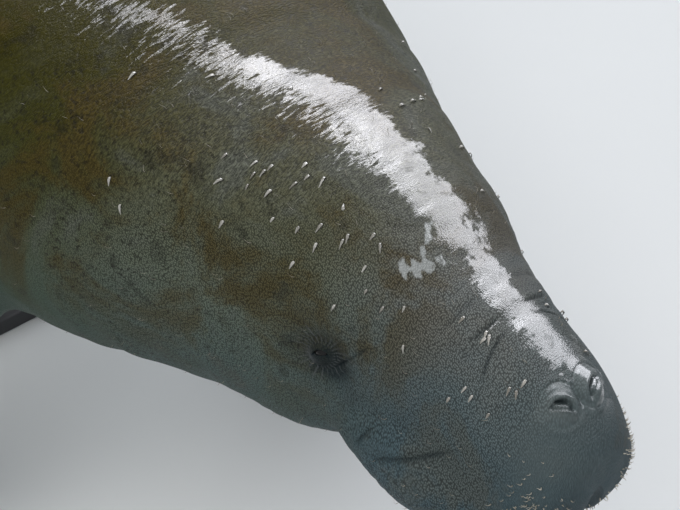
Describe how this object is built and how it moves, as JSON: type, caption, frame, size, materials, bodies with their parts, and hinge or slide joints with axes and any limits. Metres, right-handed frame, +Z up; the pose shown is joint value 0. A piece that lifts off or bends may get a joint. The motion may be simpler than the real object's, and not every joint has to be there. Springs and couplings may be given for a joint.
{
  "type": "life-size manatee display model on a stand",
  "caption": "Still life-size model of a swimming manatee with paddle tail and flippers, held over a flat base by short rods.",
  "frame": {"origin": "middle of the base's underside, on the floor", "axes": "+X towards the animal's snout, +Y to its left, +Z up"},
  "size_m": [2.8781, 0.8328, 0.8967],
  "materials": {
    "hide": "wet, finely wrinkled skin, olive brown above and slate grey below",
    "eye": "glossy dark brown",
    "nail": "horn, satin",
    "stand_base": "matt dark grey paint",
    "stand_rod": "brushed"
  },
  "bodies": {
    "root": {"head": "hide", "lower_jaw": "hide", "neck": "hide", "torso_front": "hide", "torso_rear": "hide", "tail_stock": "hide", "tail_paddle": "hide", "flipper_left": "hide", "flipper_right": "hide", "eye_left": "eye", "eye_right": "eye", "nail_left_1": "nail", "nail_left_2": "nail", "nail_left_3": "nail", "nail_right_1": "nail", "nail_right_2": "nail", "nail_right_3": "nail", "stand_base": "stand_base", "stand_flange_front": "stand_rod", "stand_flange_rear": "stand_rod", "stand_rod_front": "stand_rod", "stand_rod_rear": "stand_rod"}
  },
  "joints": []
}
